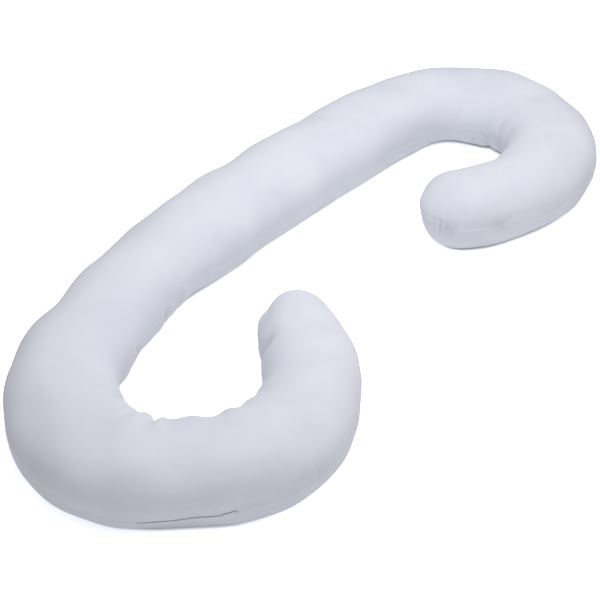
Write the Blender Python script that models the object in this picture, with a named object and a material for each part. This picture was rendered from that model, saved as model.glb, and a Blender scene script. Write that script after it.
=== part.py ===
"""C-shaped body pillow: one long stuffed tube whose two ends curl back as hooks.

Two C-shaped panels of cloth are sewn edge to edge, so one seam runs all round the
pillow at mid height.  The stuffed form rests on a flat strip along its underside.
A narrow flap covers the closure in that seam, on the outer side of the wide hook.

Frame: metres, +Z up, origin at the bottom centre of the pillow's box.  The back of
the C runs along +Y, the wide hook is at the -Y end, the tight hook is at the +Y end
and both open towards +X.
"""
import math
from collections import namedtuple

import bmesh
import bpy
import numpy as np

# Centreline, walked clockwise from the wide hook's tip to the tight hook's tip, so
# that the inside of both hooks is on the right.  length is in metres and turn is in
# degrees to the right over that length.
Run = namedtuple("Run", "name length turn")
FIRST_HEADING = -18.0     # degrees from +X at the wide hook's tip
RUNS = (
    Run("wide hook, tip", 0.155, 22),
    Run("wide hook, outer arm", 0.190, 43),
    Run("wide hook, first corner", 0.115, 32),
    Run("wide hook, bow", 0.130, 31),
    Run("wide hook, heel", 0.140, 34),
    Run("wide hook, second corner", 0.130, 34),
    Run("wide hook, into the back", 0.230, 51),
    Run("back, lower half", 0.515, 14),
    Run("back, upper half", 0.420, 4),
    Run("tight hook, out of the back", 0.245, 60),
    Run("tight hook, heel", 0.260, 86),
    Run("tight hook, arm", 0.230, 61),
    Run("tight hook, tip", 0.149, 47),
)
BEND_EASING = 0.10        # length over which one bend eases into the next

# Stuffed size along the centreline.  at is the share of the way from the wide hook's
# tip to the tight hook's tip; inner and outer are the cloth's reach on the inside and
# on the outside of the hooks.
Girth = namedtuple("Girth", "at inner outer height")
GIRTHS = (
    Girth(0.0000, 0.065, 0.084, 0.128),
    Girth(0.0625, 0.088, 0.089, 0.144),
    Girth(0.1250, 0.094, 0.104, 0.156),
    Girth(0.1875, 0.112, 0.085, 0.158),
    Girth(0.2500, 0.104, 0.112, 0.162),
    Girth(0.3125, 0.112, 0.093, 0.154),
    Girth(0.3750, 0.108, 0.074, 0.150),
    Girth(0.4375, 0.087, 0.091, 0.148),
    Girth(0.5000, 0.104, 0.093, 0.154),
    Girth(0.5625, 0.103, 0.094, 0.156),
    Girth(0.6250, 0.100, 0.096, 0.155),
    Girth(0.6875, 0.094, 0.089, 0.150),
    Girth(0.7500, 0.090, 0.089, 0.146),
    Girth(0.8125, 0.099, 0.082, 0.150),
    Girth(0.8750, 0.102, 0.093, 0.158),
    Girth(0.9375, 0.101, 0.076, 0.148),
    Girth(1.0000, 0.072, 0.090, 0.135),
)
GIRTH_EASING = 0.11       # length over which one size eases into the next

# Blunt ends: how far from its tip an end starts to close, how square its plan is, how
# round its profile is, and the angle by which it is cut across the tube.
END_LENGTH = 0.095
END_SQUARENESS = 2.4
END_ROUNDNESS = 2.1
END_SLANT = 23.0
SLANT_REACH = 2.0         # in end lengths, where the slant has died out

# Cross-section
CROWN = 2.15              # power of the upper half's curve, 2 being an ellipse
BELLY = 2.3               # power of the lower half's curve
SEAM_LEVEL = 0.52         # height of the seam as a share of the pillow's height
BELLY_DEPTH = 1.12        # the lower half's free depth over the seam's height; what
                          # would hang below the resting plane is pressed flat
SEAM_DRAW = 0.004         # how far the seam pulls the cloth in
SEAM_LIP = 7.0            # degrees round the section from the seam to full cloth

# Puckers, where the seam gathers the slack on the inside of a bend.  from_tip is the
# distance along the centreline, depth is inwards.
Pucker = namedtuple("Pucker", "name from_tip depth")
PUCKERS = (
    Pucker("below the wide tip", 0.15, 0.007),
    Pucker("arm", 0.33, 0.004),
    Pucker("first corner", 0.43, 0.003),
    Pucker("bow", 0.52, 0.004),
    Pucker("heel", 0.65, 0.006),
    Pucker("into the back", 1.11, 0.004),
    Pucker("back, low", 1.23, 0.005),
    Pucker("back, higher", 1.29, 0.003),
    Pucker("tight heel, first", 2.38, 0.004),
    Pucker("tight heel, second", 2.47, 0.005),
)
PUCKER_LENGTH = 0.022     # half of a pucker's length along the seam
PUCKER_SPREAD = 38.0      # degrees round the section to where a pucker dies out

# Closure flap: a folded strip sewn over the seam on the outer side of the wide hook
FLAP_START = 0.50         # distances along the centreline
FLAP_END = 0.72
FLAP_GAP = 0.0006         # air between the flap and the cloth below it
FLAP_THICKNESS = 0.0016

# Facets
STATION_STEP = 0.020      # between rings along the tube
END_STATIONS = 7          # rings that round off each end
HALF_FACETS = 9           # facets round the upper half, and round the lower half

CLOTH_COLOUR = (0.80, 0.80, 0.83, 1.0)
FLAP_COLOUR = (0.74, 0.74, 0.78, 1.0)
CLOTH_ROUGHNESS = 0.9


def ease(values, step, reach):
    """Smooth a row of values with a raised-cosine window that spans reach."""
    half = max(1, round(reach / step / 2))
    window = 0.5 + 0.5 * np.cos(np.linspace(-math.pi, math.pi, 2 * half + 1))
    padded = np.pad(values, half, mode="edge")
    return np.convolve(padded, window / window.sum(), mode="valid")


def centreline(step=0.002):
    """Distance, x, y and heading along the tube's centreline."""
    ends = np.cumsum([0.0] + [run.length for run in RUNS])
    s = np.linspace(0.0, ends[-1], round(ends[-1] / step) + 1)
    gap = s[1] - s[0]
    bends = np.array([math.radians(run.turn) / run.length for run in RUNS])
    row = np.clip(np.searchsorted(ends, s, side="right") - 1, 0, len(RUNS) - 1)
    bend = ease(bends[row], gap, BEND_EASING)
    turned = np.concatenate([[0.0], np.cumsum((bend[1:] + bend[:-1]) / 2 * gap)])
    heading = math.radians(FIRST_HEADING) - turned
    middle = (heading[1:] + heading[:-1]) / 2
    x = np.concatenate([[0.0], np.cumsum(np.cos(middle) * gap)])
    y = np.concatenate([[0.0], np.cumsum(np.sin(middle) * gap)])
    return s, x, y, heading


LINE = centreline()
TOTAL = LINE[0][-1]


def girth(s):
    """Inner reach, outer reach and height of the stuffed tube at distances s."""
    fine = np.linspace(0.0, TOTAL, 600)
    at = [row.at * TOTAL for row in GIRTHS]
    sizes = []
    for column in ("inner", "outer", "height"):
        rough = np.interp(fine, at, [getattr(row, column) for row in GIRTHS])
        sizes.append(np.interp(s, fine, ease(rough, fine[1], GIRTH_EASING)))
    return sizes


def closing(from_end, power):
    """How much of the full size is left at a distance from an end."""
    t = np.clip(from_end / END_LENGTH, 0.0, 1.0)
    return (1 - (1 - t) ** power) ** (1 / power)


def gathered(s, angle):
    """Depth of the puckers at distances s and angles round the section."""
    off_seam = np.abs(np.degrees((angle + math.pi) % (2 * math.pi) - math.pi))
    fade = np.cos(np.clip(off_seam / PUCKER_SPREAD, 0, 1) * math.pi / 2) ** 2
    depth = np.zeros_like(s)
    for row in PUCKERS:
        away = np.clip(np.abs(s - row.from_tip) / PUCKER_LENGTH, 0, 1)
        depth += row.depth * np.cos(away * math.pi / 2) ** 2
    return depth[:, None] * fade[None, :]


def skin(s, angle, lift=0.0):
    """Points of the cloth, lifted outwards, as an array of stations by angles by xyz.

    Angle 0 is the seam on the inside of the hooks, then it goes up over the crown to
    the outer seam at pi and back below.
    """
    x, y, heading = (np.interp(s, LINE[0], row) for row in LINE[1:])
    inner, outer, height = girth(s)
    from_end = np.minimum(s, TOTAL - s)
    wide = closing(from_end, END_SQUARENESS)[:, None]
    high = closing(from_end, END_ROUNDNESS)[:, None]
    cos, sin = np.cos(angle), np.sin(angle)
    power = 2 / np.where(sin >= 0, CROWN, BELLY)
    across = np.sign(cos) * np.abs(cos) ** power
    up = np.sign(sin) * np.abs(sin) ** power
    seam_z = (height * SEAM_LEVEL)[:, None]
    reach = np.where(up >= 0, height[:, None] - seam_z, seam_z * BELLY_DEPTH)
    z = np.maximum(seam_z + up * (reach * high + lift), 0.0)
    half_width = np.where(across > 0, inner[:, None], outer[:, None]) * wide
    drawn = SEAM_DRAW * high * (np.abs(sin) < 1e-6) + gathered(s, angle) * wide
    offset = across * (half_width + lift) - np.sign(across) * drawn
    slant = math.tan(math.radians(END_SLANT))
    slant *= np.clip(1 - from_end / (SLANT_REACH * END_LENGTH), 0, 1)[:, None]
    ahead = offset * slant
    sin_h, cos_h = np.sin(heading)[:, None], np.cos(heading)[:, None]
    return np.stack([x[:, None] + sin_h * offset + cos_h * ahead,
                     y[:, None] - cos_h * offset + sin_h * ahead, z], axis=-1)


def stations():
    """Distances of the rings: even along the tube, closer where an end closes."""
    quarter = np.linspace(0.0, math.pi / 2, END_STATIONS + 1)
    start = END_LENGTH * (1 - np.cos(quarter))
    count = round((TOTAL - 2 * END_LENGTH) / STATION_STEP)
    even = np.linspace(END_LENGTH, TOTAL - END_LENGTH, count + 1)
    return np.concatenate([start[1:], even[1:-1], TOTAL - start[:0:-1]])


def ring_angles():
    """Angles of a ring: both seams, and even facets between their lips."""
    lip = math.radians(SEAM_LIP)
    upper = np.linspace(lip, math.pi - lip, HALF_FACETS + 1)
    return np.concatenate([[0.0], upper, [math.pi], upper + math.pi])


def add_object(name, mesh, colour):
    """Turn a bmesh into a named object with its own material."""
    bmesh.ops.recalc_face_normals(mesh, faces=mesh.faces)
    data = bpy.data.meshes.new(name)
    mesh.to_mesh(data)
    mesh.free()
    data.shade_smooth()
    material = bpy.data.materials.new(name)
    material.use_nodes = True
    shader = material.node_tree.nodes["Principled BSDF"]
    shader.inputs["Base Color"].default_value = colour
    shader.inputs["Roughness"].default_value = CLOTH_ROUGHNESS
    shader.inputs["Metallic"].default_value = 0.0
    data.materials.append(material)
    piece = bpy.data.objects.new(name, data)
    bpy.context.collection.objects.link(piece)
    return piece


def loft(mesh, rings):
    """Skin closed rings of points one after the other; return the rings of vertices."""
    rows = [[mesh.verts.new(point) for point in ring] for ring in rings]
    for first, second in zip(rows, rows[1:]):
        for i, vertex in enumerate(first):
            j = (i + 1) % len(first)
            mesh.faces.new((vertex, first[j], second[j], second[i]))
    return rows


def pillow_body(middle):
    """The stuffed pillow, each end closed on a point at its tip."""
    mesh = bmesh.new()
    rows = loft(mesh, skin(stations(), ring_angles()) - middle)
    tips = skin(np.array([0.0, TOTAL]), np.array([0.0])) - middle
    for ring, tip in zip((rows[0], rows[-1]), tips[:, 0]):
        pole = mesh.verts.new(tip)
        for i, vertex in enumerate(ring):
            mesh.faces.new((vertex, ring[(i + 1) % len(ring)], pole))
    return add_object("pillow_body", mesh, CLOTH_COLOUR)


def closure_flap(middle):
    """The strip that bridges the drawn-in seam between its two lips."""
    s = stations()
    s = s[(s > FLAP_START) & (s < FLAP_END)]
    lips = math.pi + math.radians(SEAM_LIP) * np.array([-1, 1])
    under = skin(s, lips, FLAP_GAP)
    over = skin(s, lips[::-1], FLAP_GAP + FLAP_THICKNESS)
    mesh = bmesh.new()
    rows = loft(mesh, np.concatenate([under, over], axis=1) - middle)
    for ring in (rows[0], rows[-1]):
        mesh.faces.new(ring)
    return add_object("closure_flap", mesh, FLAP_COLOUR)


def main():
    """Model the pillow in an empty scene."""
    for item in list(bpy.data.objects):
        bpy.data.objects.remove(item, do_unlink=True)
    cloth = skin(stations(), ring_angles())
    middle = (cloth.min(axis=(0, 1)) + cloth.max(axis=(0, 1))) / 2
    middle[2] = 0.0
    pillow_body(middle)
    closure_flap(middle)


if __name__ == "__main__":
    main()
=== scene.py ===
"""The looks of a C-shaped body pillow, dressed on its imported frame.

The pillow is a cover of plain-woven white polycotton, stuffed hard with loose fibre.
Its two C-shaped panels meet in one seam at mid height.  The stuffing leaves soft
lumps, the seam gathers the slack cloth on the inside of the bends and round the
ends, and a folded flap covers the closure on the outer side of the wide hook.

Everything is in metres, in the frame of the CAD model: +Z up, +Y along the back.
"""
from __future__ import annotations

import logging
import math
from dataclasses import dataclass, field
from enum import Enum
from typing import NamedTuple

import bmesh
import bpy
import numpy as np
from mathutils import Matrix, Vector


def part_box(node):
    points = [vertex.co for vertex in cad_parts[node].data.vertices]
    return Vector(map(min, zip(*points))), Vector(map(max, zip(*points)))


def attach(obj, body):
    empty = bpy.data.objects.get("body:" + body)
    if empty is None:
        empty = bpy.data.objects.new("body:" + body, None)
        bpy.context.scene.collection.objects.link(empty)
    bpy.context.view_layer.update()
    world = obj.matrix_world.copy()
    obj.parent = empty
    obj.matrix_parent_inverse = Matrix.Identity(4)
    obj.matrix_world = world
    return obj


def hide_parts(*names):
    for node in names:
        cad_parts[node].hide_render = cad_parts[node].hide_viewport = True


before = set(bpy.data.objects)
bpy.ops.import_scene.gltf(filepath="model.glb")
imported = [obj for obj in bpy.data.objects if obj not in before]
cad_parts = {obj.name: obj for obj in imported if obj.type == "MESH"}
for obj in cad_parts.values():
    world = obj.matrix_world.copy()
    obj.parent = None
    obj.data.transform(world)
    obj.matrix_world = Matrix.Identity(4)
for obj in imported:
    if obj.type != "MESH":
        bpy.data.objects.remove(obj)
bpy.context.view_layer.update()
ROOT = "root"
TINY = 1e-12      # keeps a division from failing where a length is nothing

log = logging.getLogger("pillow")


# ---------------------------------------------------------------------------
# Small helpers


def linear(code: str) -> tuple[float, float, float, float]:
    """Turn an sRGB hex colour into linear RGBA.

    Args:
        code: six hex digits, such as "e4e5ec".

    Returns:
        The colour as four linear numbers.
    """
    channels = []
    for start in (0, 2, 4):
        value = int(code[start:start + 2], 16) / 255
        channels.append(value / 12.92 if value <= 0.04045
                        else ((value + 0.055) / 1.055) ** 2.4)
    return channels[0], channels[1], channels[2], 1.0


def ease(values: np.ndarray, step: float, reach: float) -> np.ndarray:
    """Smooth a row of values with a raised-cosine window.

    Args:
        values: the row.
        step: distance between two values.
        reach: the window's whole length.

    Returns:
        The smoothed row, of the same length.
    """
    half = max(1, round(reach / step / 2))
    window = 0.5 + 0.5 * np.cos(np.linspace(-math.pi, math.pi, 2 * half + 1))
    padded = np.pad(values, half, mode="edge")
    return np.convolve(padded, window / window.sum(), mode="valid")


def bell(distance: np.ndarray) -> np.ndarray:
    """A smooth hump: 1 at distance 0, and 0 from distance 1 on."""
    return np.cos(np.clip(np.abs(distance), 0, 1) * math.pi / 2) ** 2


def normals_of(points: np.ndarray) -> np.ndarray:
    """Outward unit normals of a grid of rings, which closes round the section."""
    along = np.gradient(points, axis=0)
    around = np.roll(points, -1, axis=1) - np.roll(points, 1, axis=1)
    normal = np.cross(along, around)
    length = np.linalg.norm(normal, axis=-1, keepdims=True)
    return normal / np.maximum(length, TINY)


def lengths(path: np.ndarray) -> np.ndarray:
    """Distance along a path to each of its points."""
    steps = np.linalg.norm(np.diff(path, axis=0), axis=-1)
    return np.concatenate([[0.0], np.cumsum(steps)])


def arcs(cloth: np.ndarray) -> tuple[np.ndarray, np.ndarray]:
    """Distance round each ring from its inner seam, and each ring's whole length."""
    steps = np.linalg.norm(np.roll(cloth, -1, axis=1) - cloth, axis=-1)
    total = np.cumsum(steps, axis=1)
    arc = np.concatenate([np.zeros((len(cloth), 1)), total[:, :-1]], axis=1)
    return arc, total[:, -1:]


def finer(rows: np.ndarray, closed: bool) -> np.ndarray:
    """Put a smooth in-between row after every row.

    Args:
        rows: rows of points.
        closed: whether the last row is followed by the first.

    Returns:
        Twice as many rows, less one if they aren't closed.
    """
    before, after, beyond = (np.roll(rows, shift, axis=0) for shift in (1, -1, -2))
    if not closed:
        before[0] = 2 * rows[0] - rows[1]
        beyond[-2] = 2 * rows[-1] - rows[-2]
    between = (9 * (rows + after) - before - beyond) / 16
    both = np.empty((2 * len(rows), *rows.shape[1:]))
    both[0::2], both[1::2] = rows, between
    return both if closed else both[:-1]


def ring_faces(rings: int, around: int) -> list[tuple[int, ...]]:
    """Quads between rings of points that close round the section."""
    first = np.arange(rings - 1)[:, None] * around
    k = np.arange(around)[None, :]
    nxt = (k + 1) % around
    quads = np.stack([first + k, first + around + k, first + around + nxt,
                      first + nxt], axis=-1)
    return [tuple(quad) for quad in quads.reshape(-1, 4).tolist()]


def corners_of(mesh: bpy.types.Mesh) -> np.ndarray:
    """The number of the point at each corner of a mesh's faces."""
    found = np.empty(len(mesh.loops), dtype=int)
    mesh.loops.foreach_get("vertex_index", found)
    return found


def smooth(mesh: bpy.types.Mesh) -> None:
    """Shade all faces of a mesh smoothly."""
    mesh.polygons.foreach_set("use_smooth", [True] * len(mesh.polygons))


def add_object(name: str, data: bpy.types.ID) -> bpy.types.Object:
    """Put a mesh, a light or a camera into the scene as an object."""
    thing = bpy.data.objects.new(name, data)
    bpy.context.scene.collection.objects.link(thing)
    return thing


def add_material(name: str) -> bpy.types.Material:
    """Start a material that uses nodes."""
    material = bpy.data.materials.new(name)
    material.use_nodes = True
    return material


def add_node(tree: bpy.types.NodeTree, kind: str, settings: dict | None = None,
             values: dict | None = None, links: dict | None = None,
             feeds: dict | None = None) -> bpy.types.Node:
    """Add a node with its settings, values and links.

    Args:
        tree: the tree that the node goes into.
        kind: the node's type.
        settings: attributes of the node.
        values: default values of its inputs, by name or number.
        links: sockets that feed its inputs, by name or number.
        feeds: sockets that its outputs feed, by name or number.

    Returns:
        The new node.
    """
    node = tree.nodes.new(kind)
    for key, value in (settings or {}).items():
        setattr(node, key, value)
    for key, value in (values or {}).items():
        node.inputs[key].default_value = value
    for key, source in (links or {}).items():
        tree.links.new(source, node.inputs[key])
    for key, target in (feeds or {}).items():
        tree.links.new(node.outputs[key], target)
    return node


# ---------------------------------------------------------------------------
# The stuffed form, as in the CAD model


class Run(NamedTuple):
    """A stretch of the centreline: metres, and degrees of turn to the right."""

    length: float
    turn: float


class Girth(NamedTuple):
    """Stuffed size at a share of the way along the centreline."""

    at: float
    inner: float
    outer: float
    height: float


class Side(Enum):
    """Which seam a detail sits on: the angle round the section, in radians."""

    INNER = 0.0
    OUTER = math.pi


@dataclass
class TubeForm:
    """The tube that both C panels make once they are stuffed.

    Distances run along the centreline from the wide hook's tip.  Angles round the
    section start at the inner seam and go over the crown to the outer seam at pi.
    """

    first_heading: float = -18.0
    runs: tuple[Run, ...] = (
        Run(0.155, 22), Run(0.190, 43), Run(0.115, 32), Run(0.130, 31),
        Run(0.140, 34), Run(0.130, 34), Run(0.230, 51), Run(0.515, 14),
        Run(0.420, 4), Run(0.245, 60), Run(0.260, 86), Run(0.230, 61),
        Run(0.149, 47),
    )
    bend_easing: float = 0.10
    girths: tuple[Girth, ...] = (
        Girth(0.0000, 0.065, 0.084, 0.128), Girth(0.0625, 0.088, 0.089, 0.144),
        Girth(0.1250, 0.094, 0.104, 0.156), Girth(0.1875, 0.112, 0.085, 0.158),
        Girth(0.2500, 0.104, 0.112, 0.162), Girth(0.3125, 0.112, 0.093, 0.154),
        Girth(0.3750, 0.108, 0.074, 0.150), Girth(0.4375, 0.087, 0.091, 0.148),
        Girth(0.5000, 0.104, 0.093, 0.154), Girth(0.5625, 0.103, 0.094, 0.156),
        Girth(0.6250, 0.100, 0.096, 0.155), Girth(0.6875, 0.094, 0.089, 0.150),
        Girth(0.7500, 0.090, 0.089, 0.146), Girth(0.8125, 0.099, 0.082, 0.150),
        Girth(0.8750, 0.102, 0.093, 0.158), Girth(0.9375, 0.101, 0.076, 0.148),
        Girth(1.0000, 0.072, 0.090, 0.135),
    )
    girth_easing: float = 0.11
    end_length: float = 0.095
    end_squareness: float = 2.4
    end_roundness: float = 2.1
    end_slant: float = 23.0
    slant_reach: float = 2.0
    crown: float = 2.15
    belly: float = 2.3
    seam_level: float = 0.52
    belly_depth: float = 1.12     # past the floor, which leaves a flat strip
    survey: tuple[int, int] = (400, 48)   # rings and points that find its extent
    girth_samples: int = 600
    line: tuple[np.ndarray, ...] = field(init=False)
    total: float = field(init=False)
    shift: np.ndarray = field(init=False)

    def __post_init__(self) -> None:
        """Work out the centreline and where the form stands in the frame."""
        self.line = self._centreline()
        self.total = float(self.line[0][-1])
        self.shift = np.zeros(3)
        rings, around = self.survey
        rough = self.skin(np.linspace(0.0, self.total, rings),
                          np.linspace(0, 2 * math.pi, around, endpoint=False))
        low, high = (np.array(corner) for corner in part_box("pillow_body"))
        middle = (rough.min(axis=(0, 1)) + rough.max(axis=(0, 1))) / 2
        self.shift = (low + high) / 2 - middle
        self.shift[2] = 0.0

    def _centreline(self, step: float = 0.002) -> tuple[np.ndarray, ...]:
        """Distance, x, y and heading along the tube's centreline."""
        ends = np.cumsum([0.0] + [run.length for run in self.runs])
        s = np.linspace(0.0, ends[-1], round(ends[-1] / step) + 1)
        gap = s[1] - s[0]
        bends = np.array([math.radians(run.turn) / run.length for run in self.runs])
        row = np.searchsorted(ends, s, side="right") - 1
        bend = bends[np.clip(row, 0, len(self.runs) - 1)]
        bend = ease(bend, gap, self.bend_easing)
        steps = (bend[1:] + bend[:-1]) / 2 * gap
        turned = np.concatenate([[0.0], np.cumsum(steps)])
        heading = math.radians(self.first_heading) - turned
        middle = (heading[1:] + heading[:-1]) / 2
        x = np.concatenate([[0.0], np.cumsum(np.cos(middle) * gap)])
        y = np.concatenate([[0.0], np.cumsum(np.sin(middle) * gap)])
        return s, x, y, heading

    def girth(self, s: np.ndarray) -> list[np.ndarray]:
        """Inner reach, outer reach and height at distances s."""
        fine = np.linspace(0.0, self.total, self.girth_samples)
        at = [row.at * self.total for row in self.girths]
        sizes = []
        for column in ("inner", "outer", "height"):
            rough = np.interp(fine, at, [getattr(row, column) for row in self.girths])
            sizes.append(np.interp(s, fine, ease(rough, fine[1], self.girth_easing)))
        return sizes

    def closing(self, from_end: np.ndarray, power: float) -> np.ndarray:
        """How much of the full size is left at a distance from an end."""
        t = np.clip(from_end / self.end_length, 0.0, 1.0)
        return (1 - (1 - t) ** power) ** (1 / power)

    def skin(self, s: np.ndarray, angle: np.ndarray) -> np.ndarray:
        """Points of the smooth stuffed form.

        Args:
            s: distances along the centreline.
            angle: angles round the section.

        Returns:
            An array of distances by angles by x, y and z.
        """
        x, y, heading = (np.interp(s, self.line[0], row) for row in self.line[1:])
        inner, outer, height = self.girth(s)
        from_end = np.minimum(s, self.total - s)
        wide = self.closing(from_end, self.end_squareness)[:, None]
        high = self.closing(from_end, self.end_roundness)[:, None]
        cos, sin = np.cos(angle), np.sin(angle)
        power = 2 / np.where(sin >= 0, self.crown, self.belly)
        across = np.sign(cos) * np.abs(cos) ** power
        up = np.sign(sin) * np.abs(sin) ** power
        seam_z = (height * self.seam_level)[:, None]
        reach = np.where(up >= 0, height[:, None] - seam_z,
                         seam_z * self.belly_depth)
        z = np.maximum(seam_z + up * reach * high, 0.0)
        half_width = np.where(across > 0, inner[:, None], outer[:, None]) * wide
        offset = across * half_width
        slant = math.tan(math.radians(self.end_slant)) * np.clip(
            1 - from_end / (self.slant_reach * self.end_length), 0, 1)[:, None]
        ahead = offset * slant
        sin_h, cos_h = np.sin(heading)[:, None], np.cos(heading)[:, None]
        points = np.stack([x[:, None] + sin_h * offset + cos_h * ahead,
                           y[:, None] - cos_h * offset + sin_h * ahead, z], axis=-1)
        return points + self.shift


# ---------------------------------------------------------------------------
# Finishes


@dataclass(frozen=True)
class WovenPolycotton:
    """Plain-woven white polycotton, washed and matte.

    The threads scatter light widely, so it has no gloss, only the soft bright rim
    of short fibres; its white is a little blue from the brightener in the wash.
    """

    name: str = "woven_polycotton_white"
    colour: str = "e5e7ee"
    shade: str = "dfe1e9"
    roughness: float = 0.86
    specular: float = 0.25
    sheen: float = 0.06
    sheen_roughness: float = 0.5
    thread_mm: float = 1.1        # real threads are 0.3 mm apart, too fine to draw
    weave_depth_mm: float = 0.03
    crumple_mm: float = 34.0      # size of the soft creases that handling leaves
    crumple_depth_mm: float = 0.9
    mottle_mm: float = 120.0      # size of the faint patches of colour

    def build(self) -> bpy.types.Material:
        """Make the material: colour drift, soft creases and the weave."""
        material = add_material(self.name)
        tree = material.node_tree
        shader = tree.nodes["Principled BSDF"]
        shader.inputs["Roughness"].default_value = self.roughness
        shader.inputs["Sheen Weight"].default_value = self.sheen
        shader.inputs["Sheen Roughness"].default_value = self.sheen_roughness
        shader.inputs["Specular IOR Level"].default_value = self.specular
        place = add_node(tree, "ShaderNodeTexCoord")
        drift = add_node(tree, "ShaderNodeTexNoise",
                         values={"Scale": 1000 / self.mottle_mm, "Detail": 3.0,
                                 "Roughness": 0.55},
                         links={"Vector": place.outputs["Object"]})
        span = add_node(tree, "ShaderNodeMapRange",
                        values={"From Min": 0.35, "From Max": 0.65},
                        links={"Value": drift.outputs["Fac"]})
        add_node(tree, "ShaderNodeMix", settings={"data_type": "RGBA"},
                 values={6: linear(self.shade), 7: linear(self.colour)},
                 links={0: span.outputs["Result"]},
                 feeds={2: shader.inputs["Base Color"]})
        creases = add_node(tree, "ShaderNodeTexNoise",
                           values={"Scale": 1000 / self.crumple_mm, "Detail": 4.0,
                                   "Roughness": 0.5, "Distortion": 0.4},
                           links={"Vector": place.outputs["Object"]})
        soft = add_node(tree, "ShaderNodeBump",
                        values={"Strength": 1.0,
                                "Distance": self.crumple_depth_mm / 1000},
                        links={"Height": creases.outputs["Fac"]})
        height = self._weave(tree, place)
        add_node(tree, "ShaderNodeBump",
                 values={"Strength": 1.0, "Distance": self.weave_depth_mm / 1000},
                 links={"Height": height, "Normal": soft.outputs["Normal"]},
                 feeds={"Normal": shader.inputs["Normal"]})
        return material

    def _weave(self, tree: bpy.types.NodeTree,
               place: bpy.types.Node) -> bpy.types.NodeSocket:
        """Over-and-under height of the threads, from the cloth's own UV map."""
        split = add_node(tree, "ShaderNodeSeparateXYZ",
                         links={"Vector": place.outputs["UV"]})
        waves = []
        for axis in ("X", "Y"):
            turn = add_node(tree, "ShaderNodeMath", settings={"operation": "MULTIPLY"},
                            values={1: math.pi * 1000 / self.thread_mm},
                            links={0: split.outputs[axis]})
            waves.append(add_node(tree, "ShaderNodeMath",
                                  settings={"operation": "SINE"},
                                  links={0: turn.outputs[0]}))
        both = add_node(tree, "ShaderNodeMath", settings={"operation": "MULTIPLY"},
                        links={0: waves[0].outputs[0], 1: waves[1].outputs[0]})
        return both.outputs[0]


@dataclass(frozen=True)
class SewingThread:
    """Spun polyester sewing thread: smooth, white, with a faint gloss."""

    name: str = "polyester_thread_white"
    colour: str = "eef0f4"
    roughness: float = 0.55
    twists_per_metre: float = 1800.0
    twist_depth_mm: float = 0.1

    def build(self) -> bpy.types.Material:
        """Make the material, with the twist of its two plies as bump."""
        material = add_material(self.name)
        tree = material.node_tree
        shader = tree.nodes["Principled BSDF"]
        shader.inputs["Roughness"].default_value = self.roughness
        shader.inputs["Base Color"].default_value = linear(self.colour)
        place = add_node(tree, "ShaderNodeTexCoord")
        twist = add_node(tree, "ShaderNodeTexNoise",
                         values={"Scale": self.twists_per_metre, "Detail": 1.0},
                         links={"Vector": place.outputs["Object"]})
        add_node(tree, "ShaderNodeBump",
                 values={"Strength": 0.4, "Distance": self.twist_depth_mm / 1000},
                 links={"Height": twist.outputs["Fac"]},
                 feeds={"Normal": shader.inputs["Normal"]})
        return material


# ---------------------------------------------------------------------------
# The cover


class Pucker(NamedTuple):
    """A crease that the seam gathers.

    It is deepest from the seam to `flat` metres above it, and gone `spread` metres
    further on, where it is also wider.
    """

    from_tip: float
    side: Side
    depth: float
    length: float
    flat: float
    spread: float


class Gather(NamedTuple):
    """A run of small pleats that stand on the seam."""

    from_tip: float
    side: Side
    length: float
    pitch: float
    depth: float
    reach: float


class Gape(NamedTuple):
    """A stretch of the closure where its crevice opens wider."""

    from_tip: float
    share: float
    length: float


class Lump(NamedTuple):
    """A soft rise or dip of the stuffing, in metres and degrees round the section."""

    from_tip: float
    angle: float
    rise: float
    length: float
    spread: float


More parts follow.
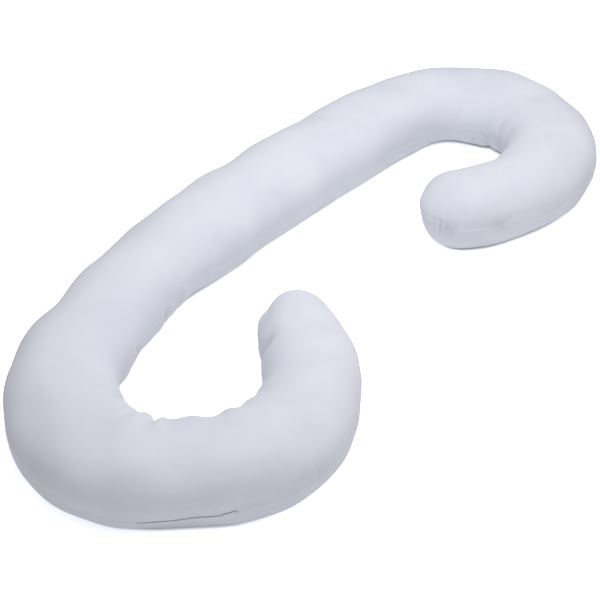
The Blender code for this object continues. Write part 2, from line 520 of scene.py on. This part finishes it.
@dataclass
class Cover:
    """The stuffed cover: both panels, sewn together at mid height."""

    form: TubeForm
    finish: WovenPolycotton
    step: float = 0.0080          # between the rings of the simulated cloth
    around: int = 64              # points of a simulated ring
    seam_crowding: float = 0.45   # how much closer the points are near a seam
    seam_draw: float = 0.0023
    seam_width: float = 0.0045
    seam_dip: float = 0.0016
    seam_dip_off: float = 0.013
    ripple_pitch: float = 0.011
    ripple_pitches: tuple[float, float] = (0.75, 1.7)   # shares of the pitch
    ripple_waves: int = 5
    ripple_seed: int = 11
    ripple_depth: float = 0.0007
    ripple_reach: float = 0.018
    cloth_cap: float = 0.004
    wrinkle_reach: float = 0.10   # swelling longer than this is left out
    pressure: float = 4.0
    slack: float = 0.035
    stiffness: float = 2.0
    frames: int = 20
    held_below: float = 0.002     # cloth this low is pressed to the floor
    tight_bend: float = 6.0       # radians in a metre that leave the most cloth
    tight_power: float = 1.5
    end_spare: float = 0.8        # for the pleats at both ends
    end_spare_reach: float = 0.10
    least_spare: float = 0.25
    outside_spare: float = 0.3    # share of the inside's spare cloth
    lumpiness: float = 0.0018
    lump_lengths: tuple[float, float] = (0.07, 0.17)
    lump_waves: int = 28
    lump_seed: int = 5
    lump_fade: float = 0.03       # height over which the floor flattens the lumps
    ridge_at: float = 2.785       # where the far hook's seam stands up
    ridge_length: float = 0.085
    ridge_rise: float = 0.0032
    ridge_width: float = 0.0015
    ridge_dip: float = 0.0016
    ridge_dip_off: float = 0.006
    closure: tuple[float, float] = (0.506, 0.632)
    crevice_depth: float = 0.0024
    crevice_width: float = 0.0022
    crevice_fades: tuple[float, float] = (0.012, 0.03)  # at its start and its end
    crevice_share: float = 0.25   # of its depth, between the gapes
    gapes: tuple[Gape, ...] = (Gape(0.516, 0.9, 0.014), Gape(0.60, 0.35, 0.018))
    # how far each seam lies below mid height: metres from the tip, metres down
    outer_drop: tuple[tuple[float, float], ...] = (
        (0.0, 0.0), (0.40, 0.0), (0.505, 0.010), (0.518, 0.013), (0.530, 0.0185),
        (0.545, 0.0190), (0.560, 0.0180), (0.575, 0.0210), (0.590, 0.0235),
        (0.605, 0.0220), (0.62, 0.024), (0.70, 0.021), (0.76, 0.018), (1.00, 0.0),
        (2.60, 0.0), (2.74, -0.005), (2.82, -0.003), (2.909, 0.0),
    )
    inner_drop: tuple[tuple[float, float], ...] = (
        (0.0, 0.0), (0.06, 0.016), (0.20, 0.028), (1.00, 0.036), (2.45, 0.036),
        (2.80, 0.016), (2.909, 0.0),
    )
    pucker_narrow: float = 0.7    # share of a pucker's length, at the seam
    pucker_widening: float = 1.4
    pucker_swell: float = 0.35    # of the cloth beside it, as a share of its depth
    pucker_swell_at: float = 1.3
    pucker_swell_width: float = 0.8
    puckers: tuple[Pucker, ...] = (
        Pucker(0.118, Side.INNER, 0.005, 0.018, 0.03, 0.07),
        Pucker(0.33, Side.INNER, 0.002, 0.022, 0.07, 0.09),
        Pucker(0.41, Side.INNER, 0.003, 0.022, 0.08, 0.09),
        Pucker(0.492, Side.INNER, 0.006, 0.040, 0.08, 0.10),
        Pucker(0.655, Side.INNER, 0.007, 0.017, 0.09, 0.11),
        Pucker(0.705, Side.INNER, 0.002, 0.018, 0.07, 0.10),
        Pucker(0.81, Side.INNER, 0.004, 0.020, 0.06, 0.09),
        Pucker(0.93, Side.INNER, 0.003, 0.012, 0.01, 0.05),
        Pucker(1.108, Side.INNER, 0.007, 0.009, 0.015, 0.03),
        Pucker(1.228, Side.INNER, 0.008, 0.009, 0.015, 0.03),
        Pucker(1.282, Side.INNER, 0.006, 0.008, 0.015, 0.03),
        Pucker(2.30, Side.INNER, 0.003, 0.016, 0.03, 0.06),
        Pucker(2.38, Side.INNER, 0.005, 0.018, 0.03, 0.07),
        Pucker(2.47, Side.INNER, 0.005, 0.018, 0.03, 0.07),
    )
    gathers: tuple[Gather, ...] = (
        Gather(2.864, Side.OUTER, 0.042, 0.015, 0.0080, 0.042),
        Gather(2.775, Side.OUTER, 0.040, 0.011, 0.0040, 0.026),
        Gather(0.395, Side.OUTER, 0.045, 0.018, 0.0022, 0.022),
        Gather(0.040, Side.OUTER, 0.060, 0.017, 0.0030, 0.040),
        Gather(0.040, Side.INNER, 0.040, 0.015, 0.0025, 0.035),
        Gather(2.880, Side.INNER, 0.040, 0.015, 0.0025, 0.035),
    )
    lumps: tuple[Lump, ...] = (
        Lump(0.016, 15, 0.009, 0.035, 50),
        Lump(0.108, 15, -0.010, 0.050, 55),
        Lump(0.150, 140, 0.005, 0.07, 60),
        Lump(0.200, 170, 0.002, 0.07, 40),
        Lump(0.300, 165, -0.004, 0.10, 60),
        Lump(0.430, 200, 0.004, 0.07, 50),
        Lump(0.590, 190, -0.004, 0.10, 70),
        Lump(0.590, 214, -0.012, 0.10, 42),
        Lump(0.820, 175, 0.004, 0.10, 60),
        Lump(1.05, 345, 0.010, 0.10, 65),
        Lump(1.18, 338, 0.004, 0.07, 50),
        Lump(1.34, 330, -0.005, 0.08, 45),
        Lump(1.43, 80, 0.004, 0.11, 55),
        Lump(1.45, 150, 0.003, 0.45, 70),
        Lump(1.55, 85, 0.003, 0.08, 50),
        Lump(1.64, 95, -0.002, 0.05, 40),
        Lump(1.74, 72, 0.004, 0.08, 50),
        Lump(1.98, 125, 0.003, 0.20, 60),
        Lump(2.15, 318, -0.007, 0.12, 50),
        Lump(2.58, 170, 0.004, 0.10, 60),
        Lump(2.70, 222, -0.006, 0.10, 40),
        Lump(2.74, 50, 0.004, 0.08, 60),
        Lump(2.875, 145, 0.005, 0.07, 80),
    )
    s: np.ndarray = field(init=False)        # each ring's place on the centreline
    angles: np.ndarray = field(init=False)   # of the points of a ring
    cloth: np.ndarray = field(init=False)    # rings of points, fine
    arc: np.ndarray = field(init=False)      # metres round each ring
    whole: np.ndarray = field(init=False)    # each ring's length
    wander: np.ndarray = field(init=False)   # of the outer seam, downwards
    sag: np.ndarray = field(init=False)      # of the inner seam

    def _counts(self) -> tuple[int, int]:
        """Number of gaps between the rings of one end, and between both ends."""
        ends = self.form.end_length
        return (round(ends * math.pi / 2 / self.step),
                round((self.form.total - 2 * ends) / self.step))

    def rings(self) -> int:
        """Number of the last ring."""
        bend, even = self._counts()
        return 2 * bend + even

    def station(self, u: np.ndarray) -> np.ndarray:
        """Distance along the centreline of ring number u, which may be a half."""
        bend, even = self._counts()
        ends = self.form.end_length
        start, finish = (ends * (1 - np.cos(np.clip(gaps / bend, 0, 1) * math.pi / 2))
                         for gaps in (u, self.rings() - u))
        straight = np.clip((u - bend) / even, 0, 1) * (self.form.total - 2 * ends)
        return start + straight + (ends - finish)

    def angle(self, v: np.ndarray) -> np.ndarray:
        """Angle round the section of point number v, crowded towards the seams."""
        even = v / self.around * 2 * math.pi
        return even - self.seam_crowding * np.sin(2 * even) / 2

    def build(self) -> bpy.types.Object:
        """Shape the cloth, sew it and dress it.

        Returns:
            The finished cover.
        """
        s = self.station(np.arange(self.rings() + 1))
        cloth = self.form.skin(s, self.angle(np.arange(self.around)))
        cloth = self.stuff(cloth, s)
        self.s = self.station(np.arange(2 * self.rings() + 1) / 2)
        self.angles = self.angle(np.arange(2 * self.around) / 2)
        cloth = finer(finer(cloth, closed=False).swapaxes(0, 1),
                      closed=True).swapaxes(0, 1)
        cloth[..., 2] = np.maximum(cloth[..., 2], 0.0)
        self.cloth = self.sew(cloth)
        piece = self.mesh("pillow_cover")
        piece.data.materials.append(self.finish.build())
        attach(piece, ROOT)
        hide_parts("pillow_body")
        return piece

    def _spare(self, s: np.ndarray) -> np.ndarray:
        """Share of spare cloth at each simulated point of the rings at distances s."""
        heading = np.interp(s, self.form.line[0], self.form.line[-1])
        bend = -np.gradient(heading, s)
        from_end = np.minimum(s, self.form.total - s)
        tight = np.clip(bend / self.tight_bend, 0, 1) ** self.tight_power
        tight += self.end_spare * bell(from_end / self.end_spare_reach)
        inside = 0.5 + 0.5 * np.cos(self.angle(np.arange(self.around)))
        most = self.outside_spare + (1 - self.outside_spare) * inside
        return np.clip(self.least_spare + tight[:, None] * most, 0, 1)

    def stuff(self, cloth: np.ndarray, s: np.ndarray) -> np.ndarray:
        """Let the slack cloth settle on the stuffing, and keep its wrinkles.

        The seams and the underside are held, the stuffing presses outwards, and the
        inside of the bends and both ends have cloth to spare, which wrinkles.

        Args:
            cloth: the smooth form, as rings of points.
            s: distance of each ring along the centreline.

        Returns:
            The form with the wrinkles, but without the broad swelling.
        """
        body = cloth[1:-1]
        rings, around = body.shape[:2]
        mesh = bpy.data.meshes.new("settling")
        mesh.from_pydata(body.reshape(-1, 3).tolist(), [], ring_faces(rings, around))
        piece = add_object("settling", mesh)
        held = (body[..., 2] < self.held_below).astype(float)
        held[:, [0, around // 2]] = 1.0
        held[[0, -1]] = 1.0
        for name, weights in (("held", held), ("slack", self._spare(s[1:-1]))):
            group = piece.vertex_groups.new(name=name)
            flat = np.round(weights.ravel(), 2)
            for value in np.unique(flat):
                group.add(np.flatnonzero(flat == value).tolist(), float(value),
                          "REPLACE")
        settings = piece.modifiers.new("cloth", "CLOTH").settings
        settings.effector_weights.gravity = 0.0
        physics = {
            "quality": 6, "mass": 0.25, "tension_stiffness": 15,
            "compression_stiffness": 12, "shear_stiffness": 8,
            "bending_stiffness": self.stiffness, "use_pressure": True,
            "uniform_pressure_force": self.pressure, "vertex_group_mass": "held",
            "vertex_group_shrink": "slack", "shrink_min": 0.0,
            "shrink_max": -self.slack,
        }
        for name, value in physics.items():
            setattr(settings, name, value)
        scene = bpy.context.scene
        for number in range(1, self.frames + 1):
            scene.frame_set(number)
        settled = piece.evaluated_get(bpy.context.evaluated_depsgraph_get())
        moved = np.empty(body.size)
        settled.to_mesh().vertices.foreach_get("co", moved)
        settled.to_mesh_clear()
        bpy.data.objects.remove(piece, do_unlink=True)
        bpy.data.meshes.remove(mesh)
        scene.frame_set(1)
        move = moved.reshape(body.shape) - body
        normal = normals_of(cloth)[1:-1]
        swell = (move * normal).sum(axis=-1)
        broad = np.apply_along_axis(ease, 0, swell, self.step, self.wrinkle_reach)
        move -= normal * broad[..., None]
        far = np.linalg.norm(move, axis=-1, keepdims=True)
        move *= self.cloth_cap * np.tanh(far / self.cloth_cap) / np.maximum(far, TINY)
        log.info("settling moved the cloth %.1f mm on average, %.1f mm at most",
                 far.mean() * 1000, far.max() * 1000)
        result = cloth.copy()
        result[1:-1] += move
        return result

    def sew(self, cloth: np.ndarray) -> np.ndarray:
        """Draw in the seams, and add the creases, pleats and lumps.

        Args:
            cloth: the settled form, as fine rings of points.

        Returns:
            The form with its needlework.
        """
        normal = normals_of(cloth)
        self.arc, self.whole = arcs(cloth)
        self.wander = np.interp(self.s, *zip(*self.outer_drop))
        self.sag = np.interp(self.s, *zip(*self.inner_drop))
        inner = np.where(self.arc < self.whole / 2, self.arc, self.arc - self.whole)
        inner += self.sag[:, None]
        outer = self.arc[:, self.around, None] + self.wander[:, None] - self.arc
        off = {Side.INNER: np.abs(inner), Side.OUTER: np.abs(outer)}
        path = {Side.INNER: lengths(cloth[:, 0]),
                Side.OUTER: lengths(cloth[:, self.around])}
        nearest = np.minimum(*off.values())
        along = np.where(off[Side.INNER] < off[Side.OUTER],
                         *(row[:, None] for row in path.values()))
        room = np.clip(1 - nearest / np.maximum(self.whole / 4, TINY), 0, 1)
        lift = self._seam(nearest, along, room) + self._ridge(outer)
        for row in self.puckers:
            lift += self._pucker(row, off[row.side])
        for row in self.gathers:
            lift += self._gather(row, off[row.side], path[row.side]) * room
        for row in self.lumps:
            lift += self._lump(row)
        lift += self._unevenness(cloth) * np.clip(cloth[..., 2] / self.lump_fade, 0, 1)
        lift -= self.crevice(outer)
        sewn = cloth + normal * lift[..., None]
        ends = normal[[1, -2]].mean(axis=1, keepdims=True)
        sewn[[0, -1]] = cloth[[0, -1]] - ends * self.seam_draw
        sewn[..., 2] = np.maximum(sewn[..., 2], 0.0)
        return sewn

    def _seam(self, off: np.ndarray, along: np.ndarray,
              room: np.ndarray) -> np.ndarray:
        """A seam's drawn-in line, the dip beside it and the stitching's ripples."""
        draw = np.random.default_rng(self.ripple_seed)
        waves = np.zeros_like(along)
        for _ in range(self.ripple_waves):
            pitch = self.ripple_pitch * draw.uniform(*self.ripple_pitches)
            phase = draw.uniform(0, 2 * math.pi)
            waves += np.cos(along / pitch * 2 * math.pi + phase)
        ripples = self.ripple_depth * waves / 2 * bell(off / self.ripple_reach)
        dip = self.seam_dip * bell((off - self.seam_dip_off) / self.seam_dip_off)
        return (ripples - dip) * room - self.seam_draw * np.exp(-off / self.seam_width)

    def _ridge(self, outer: np.ndarray) -> np.ndarray:
        """The far hook's outer seam, which stands up beside a dip."""
        fade = bell((self.s[:, None] - self.ridge_at) / self.ridge_length)
        dip = bell((outer - self.ridge_dip_off) / self.ridge_dip_off)
        return fade * (self.ridge_rise * np.exp(-(outer / self.ridge_width) ** 2)
                       - self.ridge_dip * dip)

    def _pucker(self, row: Pucker, off: np.ndarray) -> np.ndarray:
        """One crease, with the cloth swelling a little on both sides of it."""
        fade = bell(np.maximum(off - row.flat, 0) / row.spread)
        wider = self.pucker_widening * off / (row.flat + row.spread)
        width = row.length * (self.pucker_narrow + wider)
        away = np.abs(self.s[:, None] - row.from_tip) / width
        beside = bell((away - self.pucker_swell_at) / self.pucker_swell_width)
        return row.depth * fade * (self.pucker_swell * beside - bell(away))

    def _gather(self, row: Gather, off: np.ndarray, path: np.ndarray) -> np.ndarray:
        """One run of pleats, along the path of its own seam."""
        away = path[:, None] - np.interp(row.from_tip, self.s, path)
        wave = 1 - 2 * np.abs(np.sin(away / row.pitch * math.pi))
        return row.depth * bell(away / row.length) * bell(off / row.reach) * wave

    def _lump(self, row: Lump) -> np.ndarray:
        """One rise or dip."""
        turn = (np.degrees(self.angles) - row.angle + 180) % 360 - 180
        along = (self.s[:, None] - row.from_tip) / row.length
        return row.rise * bell(along) * bell(turn / row.spread)

    def _unevenness(self, cloth: np.ndarray) -> np.ndarray:
        """Soft lumps of loose fibre all over."""
        draw = np.random.default_rng(self.lump_seed)
        total = np.zeros(cloth.shape[:2])
        for _ in range(self.lump_waves):
            way = draw.normal(size=3)
            way /= np.linalg.norm(way)
            length = draw.uniform(*self.lump_lengths)
            phase = draw.uniform(0, 2 * math.pi)
            total += length * np.cos(cloth @ way / length * 2 * math.pi + phase)
        return total * self.lumpiness / total.std()

    def crevice(self, off: np.ndarray,
                rows: slice | np.ndarray = slice(None)) -> np.ndarray:
        """Depth of the crevice behind the closure's free edge.

        Args:
            off: metres from the closure's line, for each ring.
            rows: numbers of those rings.

        Returns:
            The depth at each of those places.
        """
        s = self.s[rows]
        (start, end), (rise, fall) = self.closure, self.crevice_fades
        fade = np.clip((s - start) / rise, 0, 1) * np.clip((end - s) / fall, 0, 1)
        fade *= self.crevice_share + sum(
            row.share * bell((s - row.from_tip) / row.length) for row in self.gapes)
        return self.crevice_depth * fade[:, None] * np.exp(
            -(off / self.crevice_width) ** 2)

    def place(self, rows: np.ndarray, above: np.ndarray,
              side: Side = Side.OUTER) -> np.ndarray:
        """Points on the cloth near a seam.

        Args:
            rows: numbers of the rings.
            above: metres above the seam, one column for each wanted point.
            side: which seam.

        Returns:
            An array of rings by columns by place and outward normal.
        """
        known = np.concatenate([self.cloth, normals_of(self.cloth)], axis=-1)
        found = np.empty((len(rows), above.shape[1], known.shape[-1]))
        for k, row in enumerate(rows):
            want = above[k] - self.sag[row]
            if side is Side.OUTER:
                want = self.arc[row, self.around] + self.wander[row] - above[k]
            for column in range(found.shape[-1]):
                found[k, :, column] = np.interp(want, self.arc[row],
                                                known[row, :, column],
                                                period=self.whole[row, 0])
        found[..., 3:] /= np.linalg.norm(found[..., 3:], axis=-1, keepdims=True)
        return found

    def mesh(self, name: str) -> bpy.types.Object:
        """Make the mesh, closed at both ends, with its cloth map in metres."""
        rings, around = self.cloth.shape[:2]
        points = np.concatenate([self.cloth[1:-1].reshape(-1, 3), self.cloth[:1, 0],
                                 self.cloth[-1:, 0]])
        faces = ring_faces(rings - 2, around)
        first, last = len(points) - 2, len(points) - 1
        end = (rings - 3) * around
        for k in range(around):
            nxt = (k + 1) % around
            faces += [(first, k, nxt), (last, end + nxt, end + k)]
        mesh = bpy.data.meshes.new(name)
        mesh.from_pydata(points.tolist(), [], faces)
        smooth(mesh)
        arc, whole = arcs(self.cloth)
        along = lengths(self.cloth[:, self.around // 2])
        where = np.zeros((len(points), 2))
        where[:-2, 0] = np.repeat(along[1:-1], around)
        where[:-2, 1] = arc[1:-1].ravel()
        where[-2:, 0] = along[0], along[-1]
        corners = corners_of(mesh)
        uv = where[corners]
        quads = corners[:end * 4].reshape(-1, 4)
        ring, k = quads // around, quads % around
        back = (k == 0) & (k.max(axis=1, keepdims=True) == around - 1)
        uv[:end * 4, 1][back.ravel()] = whole[1:-1, 0][ring[back]]
        mesh.uv_layers.new(name="cloth").data.foreach_set("uv", uv.ravel())
        mesh.update()
        return add_object(name, mesh)


# ---------------------------------------------------------------------------
# The closure's flap


@dataclass
class ClosureFlap:
    """The narrow folded flap of the closure, sewn on below the outer seam.

    Its lower edge is sewn down.  Its folded upper edge is free, stands a little
    proud and leaves a dark crevice behind it.
    """

    cover: Cover
    finish: WovenPolycotton
    width: float = 0.021
    thickness: float = 0.0012
    gap: float = 0.0005
    proud: float = 0.0004
    overlap: float = 0.0005
    columns: int = 10
    tapers: tuple[float, float] = (0.10, 0.25)    # shares of its length
    narrowest: float = 0.15
    taper_power: float = 0.6
    rise_share: float = 0.4       # how much of the crevice the flap bridges

    def build(self) -> bpy.types.Object:
        """Shape the flap on the cover and dress it.

        Returns:
            The finished flap.
        """
        start, end = self.cover.closure
        s = self.cover.s
        rows = np.flatnonzero((s > start) & (s < end))
        share = (s[rows] - start) / (end - start)
        first, last = self.tapers
        narrow = np.clip(np.minimum(share / first, (1 - share) / last),
                         self.narrowest, 1)[:, None] ** self.taper_power
        t = np.linspace(0, 1, self.columns)
        above = self.overlap - self.width * narrow * t
        found = self.cover.place(rows, above)
        place, normal = found[..., :3], found[..., 3:]
        lift = self.gap + self.proud * narrow * (1 - t) ** 2
        lift += self.rise_share * self.cover.crevice(above, rows)
        under = place + normal * lift[..., None]
        over = under + normal * self.thickness
        section = np.concatenate([under, over[:, ::-1]], axis=1)
        points = section.reshape(-1, 3)
        around = section.shape[1]
        faces = [face[::-1] for face in ring_faces(len(rows), around)]
        faces += [tuple(range(around)),
                  tuple(len(points) - 1 - k for k in range(around))]
        mesh = bpy.data.meshes.new("closure_flap_cloth")
        mesh.from_pydata(points.tolist(), [], faces)
        smooth(mesh)
        along = np.repeat(lengths(place[:, 0]), around)
        across = np.concatenate([above, above[:, ::-1]], axis=1).ravel()
        uv = np.stack([along, across], axis=-1)[corners_of(mesh)]
        mesh.uv_layers.new(name="cloth").data.foreach_set("uv", uv.ravel())
        mesh.update()
        piece = add_object("closure_flap_cloth", mesh)
        outward(mesh)
        piece.data.materials.append(self.finish.build())
        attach(piece, ROOT)
        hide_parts("closure_flap")
        return piece


def outward(mesh: bpy.types.Mesh) -> None:
    """Make a closed mesh's faces point outwards."""
    work = bmesh.new()
    work.from_mesh(mesh)
    bmesh.ops.recalc_face_normals(work, faces=work.faces)
    work.to_mesh(mesh)
    work.free()


# ---------------------------------------------------------------------------
# The stitches


@dataclass
class SeamStitches:
    """The stitches that hold both panels together, all along both seams."""

    cover: Cover
    finish: SewingThread
    pitch: float = 0.0042
    stitch: float = 0.0030
    radius: float = 0.0006
    proud: float = 0.0003         # of the thread's middle, off the cloth

    def paths(self) -> list[np.ndarray]:
        """The inner seam, and the outer seam on both sides of the closure."""
        cover = self.cover
        rows = np.arange(1, len(cover.s) - 1)
        inner, outer = (
            found[:, 0, :3] + found[:, 0, 3:] * self.proud
            for found in (cover.place(rows, np.zeros((len(rows), 1)), side)
                          for side in Side))
        start, end = cover.closure
        s = cover.s[rows]
        return [inner, outer[s < start], outer[s > end]]

    def tree(self, material: bpy.types.Material) -> bpy.types.NodeTree:
        """Geometry nodes that set one stitch after another along each line."""
        tree = bpy.data.node_groups.new("stitches", "GeometryNodeTree")
        face = tree.interface
        face.new_socket("Line", in_out="INPUT", socket_type="NodeSocketGeometry")
        for name in ("Pitch", "Stitch", "Radius"):
            face.new_socket(name, in_out="INPUT", socket_type="NodeSocketFloat")
        face.new_socket("Stitches", in_out="OUTPUT", socket_type="NodeSocketGeometry")
        source = add_node(tree, "NodeGroupInput")
        line = add_node(tree, "GeometryNodeMeshToCurve",
                        links={"Mesh": source.outputs["Line"]})
        even = add_node(tree, "GeometryNodeResampleCurve", settings={"mode": "LENGTH"},
                        links={"Curve": line.outputs["Curve"],
                               "Length": source.outputs["Pitch"]})
        tangent = add_node(tree, "GeometryNodeInputTangent")
        turn = add_node(tree, "FunctionNodeAlignRotationToVector",
                        settings={"axis": "X"},
                        links={"Vector": tangent.outputs["Tangent"]})
        ball = add_node(tree, "GeometryNodeMeshUVSphere",
                        values={"Segments": 6, "Rings": 5, "Radius": 1.0})
        size = add_node(tree, "ShaderNodeCombineXYZ",
                        links={"Y": source.outputs["Radius"],
                               "Z": source.outputs["Radius"]})
        add_node(tree, "ShaderNodeMath", settings={"operation": "MULTIPLY"},
                 values={1: 0.5}, links={0: source.outputs["Stitch"]},
                 feeds={0: size.inputs["X"]})
        shape = add_node(tree, "GeometryNodeTransform",
                         links={"Geometry": ball.outputs["Mesh"],
                                "Scale": size.outputs["Vector"]})
        many = add_node(tree, "GeometryNodeInstanceOnPoints",
                        links={"Points": even.outputs["Curve"],
                               "Instance": shape.outputs["Geometry"],
                               "Rotation": turn.outputs["Rotation"]})
        real = add_node(tree, "GeometryNodeRealizeInstances",
                        links={"Geometry": many.outputs["Instances"]})
        done = add_node(tree, "GeometryNodeSetMaterial",
                        values={"Material": material},
                        links={"Geometry": real.outputs["Geometry"]})
        result = add_node(tree, "NodeGroupOutput")
        tree.links.new(done.outputs["Geometry"], result.inputs["Stitches"])
        return tree

    def build(self) -> bpy.types.Object:
        """Sew along the lines and turn the result into one plain mesh.

        Returns:
            The finished stitches.
        """
        points, edges = [], []
        for path in self.paths():
            first = len(points)
            points += path.tolist()
            edges += [(first + k, first + k + 1) for k in range(len(path) - 1)]
        guide = bpy.data.meshes.new("stitch_lines")
        guide.from_pydata(points, edges, [])
        holder = add_object("stitch_lines", guide)
        material = self.finish.build()
        modifier = holder.modifiers.new("stitches", "NODES")
        modifier.node_group = self.tree(material)
        sizes = {"Pitch": self.pitch, "Stitch": self.stitch, "Radius": self.radius}
        for item in modifier.node_group.interface.items_tree:
            if item.name in sizes:
                modifier[item.identifier] = sizes[item.name]
        graph = bpy.context.evaluated_depsgraph_get()
        mesh = bpy.data.meshes.new_from_object(holder.evaluated_get(graph))
        bpy.data.objects.remove(holder, do_unlink=True)
        mesh.name = "seam_stitches"
        smooth(mesh)
        piece = add_object("seam_stitches", mesh)
        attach(piece, ROOT)
        return piece


# ---------------------------------------------------------------------------
# The studio


class Panel(NamedTuple):
    """A bright patch of the world: where it stands, in degrees, and its strength."""

    azimuth: float
    elevation: float
    strength: float


class Lamp(NamedTuple):
    """A square soft box: where it hangs, in metres, how wide it is, and its watts."""

    x: float
    y: float
    z: float
    size: float
    power: float


def direction(azimuth: float, elevation: float) -> Vector:
    """The way to a point seen at an azimuth, 0 being -Y, and an elevation."""
    turn, tilt = math.radians(azimuth), math.radians(elevation)
    return Vector((math.sin(turn) * math.cos(tilt), -math.cos(turn) * math.cos(tilt),
                   math.sin(tilt)))


@dataclass
class Studio:
    """A white floor and world, soft light from several sides, and the camera."""

    sky: str = "f7f9ff"
    sky_strength: float = 0.297
    panels: tuple[Panel, ...] = (Panel(180, 15, 0.08), Panel(35, 50, 0.46))
    panel_focus: float = 4.0
    lamps: tuple[Lamp, ...] = (
        Lamp(0.0, 0.1, 1.8, 1.0, 15.0), Lamp(1.0, -0.2, 1.2, 1.0, 2.2),
        Lamp(0.5, 1.4, 1.0, 1.0, 1.9), Lamp(-0.6, 0.8, 1.4, 1.0, 0.8),
    )
    floor_size: float = 40.0
    floor_level: float = -0.0004
    floor_shown: float = 2.5
    # painted contact shadow: how close the pillow must be for the camera's view of the
    # floor to darken, and how strongly
    painted_contact_shadow_reach: float = 0.007
    painted_contact_shadow_power: float = 0.8
    floor_bounce: float = 0.85
    floor_glow: float = 0.125
    azimuth: float = 35.0
    elevation: float = 41.79
    distance: float = 2.948
    target: tuple[float, float, float] = (-0.0031, -0.0489, 0.0)
    lens: float = 88.12

    def build(self) -> None:
        """Set up the world, the floor, the light and the camera."""
        scene = bpy.context.scene
        scene.view_settings.view_transform = "Standard"
        scene.view_settings.look = "None"
        self._world(scene)
        self._floor()
        for lamp in self.lamps:
            self._lamp(lamp)
        self._camera(scene)

    def _world(self, scene: bpy.types.Scene) -> None:
        """Soft light, stronger from each panel; white where the camera sees it."""
        world = bpy.data.worlds.new("white_cyclorama")
        world.use_nodes = True
        tree = world.node_tree
        light = tree.nodes["Background"]
        light.inputs["Color"].default_value = linear(self.sky)
        place = add_node(tree, "ShaderNodeTexCoord")
        level = add_node(tree, "ShaderNodeValue")
        level.outputs[0].default_value = self.sky_strength
        for panel in self.panels:
            facing = add_node(tree, "ShaderNodeVectorMath",
                              settings={"operation": "DOT_PRODUCT"},
                              values={1: direction(panel.azimuth, panel.elevation)},
                              links={0: place.outputs["Generated"]})
            ahead = add_node(tree, "ShaderNodeMath", settings={"operation": "MAXIMUM"},
                             values={1: 0.0}, links={0: facing.outputs["Value"]})
            lobe = add_node(tree, "ShaderNodeMath", settings={"operation": "POWER"},
                            values={1: self.panel_focus}, links={0: ahead.outputs[0]})
            level = add_node(tree, "ShaderNodeMath",
                             settings={"operation": "MULTIPLY_ADD"},
                             values={1: panel.strength},
                             links={0: lobe.outputs[0], 2: level.outputs[0]})
        tree.links.new(level.outputs[0], light.inputs["Strength"])
        shown = add_node(tree, "ShaderNodeBackground",
                         values={"Color": (1, 1, 1, 1), "Strength": 1.0})
        self._split(tree, light, shown, "World Output")
        scene.world = world

    @staticmethod
    def _split(tree: bpy.types.NodeTree, lit: bpy.types.Node, shown: bpy.types.Node,
               output: str) -> None:
        """Let one shader light the scene, and the camera see another."""
        path = add_node(tree, "ShaderNodeLightPath")
        add_node(tree, "ShaderNodeMixShader",
                 links={0: path.outputs["Is Camera Ray"], 1: lit.outputs[0],
                        2: shown.outputs[0]},
                 feeds={0: tree.nodes[output].inputs["Surface"]})

    def _floor(self) -> None:
        """White paper, which shows only the closest shadow, and a painted contact
        shadow: its colour as the camera sees it is darkened where the pillow is close
        above it.
        """
        half = self.floor_size / 2
        corners = ((-half, -half), (half, -half), (half, half), (-half, half))
        mesh = bpy.data.meshes.new("paper_floor")
        mesh.from_pydata([(x, y, self.floor_level) for x, y in corners], [],
                         [(0, 1, 2, 3)])
        floor = add_object("paper_floor", mesh)
        material = add_material("white_paper")
        tree = material.node_tree
        tree.nodes.remove(tree.nodes["Principled BSDF"])
        bounce, shown = (add_node(tree, "ShaderNodeBsdfDiffuse",
                                  values={"Color": (level, level, level, 1)})
                         for level in (self.floor_bounce, self.floor_shown))
        glow = add_node(tree, "ShaderNodeEmission",
                        values={"Strength": self.floor_glow})
        # painted contact shadow: ambient occlusion darkens the floor colour that the
        # camera sees, right beside the pillow
        near = add_node(tree, "ShaderNodeAmbientOcclusion", settings={"samples": 8},
                        values={"Distance": self.painted_contact_shadow_reach})
        dark = add_node(tree, "ShaderNodeMath", settings={"operation": "POWER"},
                        values={1: self.painted_contact_shadow_power}, links={0: near.outputs["AO"]})
        add_node(tree, "ShaderNodeMath", settings={"operation": "MULTIPLY"},
                 values={1: self.floor_shown}, links={0: dark.outputs[0]},
                 feeds={0: shown.inputs["Color"]})
        lit = add_node(tree, "ShaderNodeAddShader",
                       links={0: bounce.outputs[0], 1: glow.outputs[0]})
        self._split(tree, lit, shown, "Material Output")
        mesh.materials.append(material)

    def _lamp(self, lamp: Lamp) -> None:
        """A soft box that faces the middle of the floor."""
        data = bpy.data.lights.new("soft_box", "AREA")
        data.size = lamp.size
        data.energy = lamp.power
        light = add_object("soft_box", data)
        light.location = lamp.x, lamp.y, lamp.z
        light.rotation_euler = (-light.location).to_track_quat("-Z", "Y").to_euler()

    def _camera(self, scene: bpy.types.Scene) -> None:
        """A camera above the open side, looking down along the hooks."""
        way = direction(self.azimuth, self.elevation)
        data = bpy.data.cameras.new("camera")
        data.lens = self.lens
        data.sensor_width = 36.0
        camera = add_object("camera", data)
        camera.location = Vector(self.target) + way * self.distance
        camera.rotation_euler = (-way).to_track_quat("-Z", "Y").to_euler()
        scene.camera = camera


def main() -> None:
    """Build the pillow piece by piece, then the studio."""
    logging.basicConfig(level=logging.INFO, format="%(name)s: %(message)s")
    cloth = WovenPolycotton()
    cover = Cover(TubeForm(), cloth)
    flap = ClosureFlap(cover, cloth)
    stitches = SeamStitches(cover, SewingThread())
    for part in (cover, flap, stitches):
        piece = part.build()
        triangles = sum(len(face.vertices) - 2 for face in piece.data.polygons)
        log.info("%s: %d triangles", piece.name, triangles)
    Studio().build()


if __name__ == "__main__":
    main()
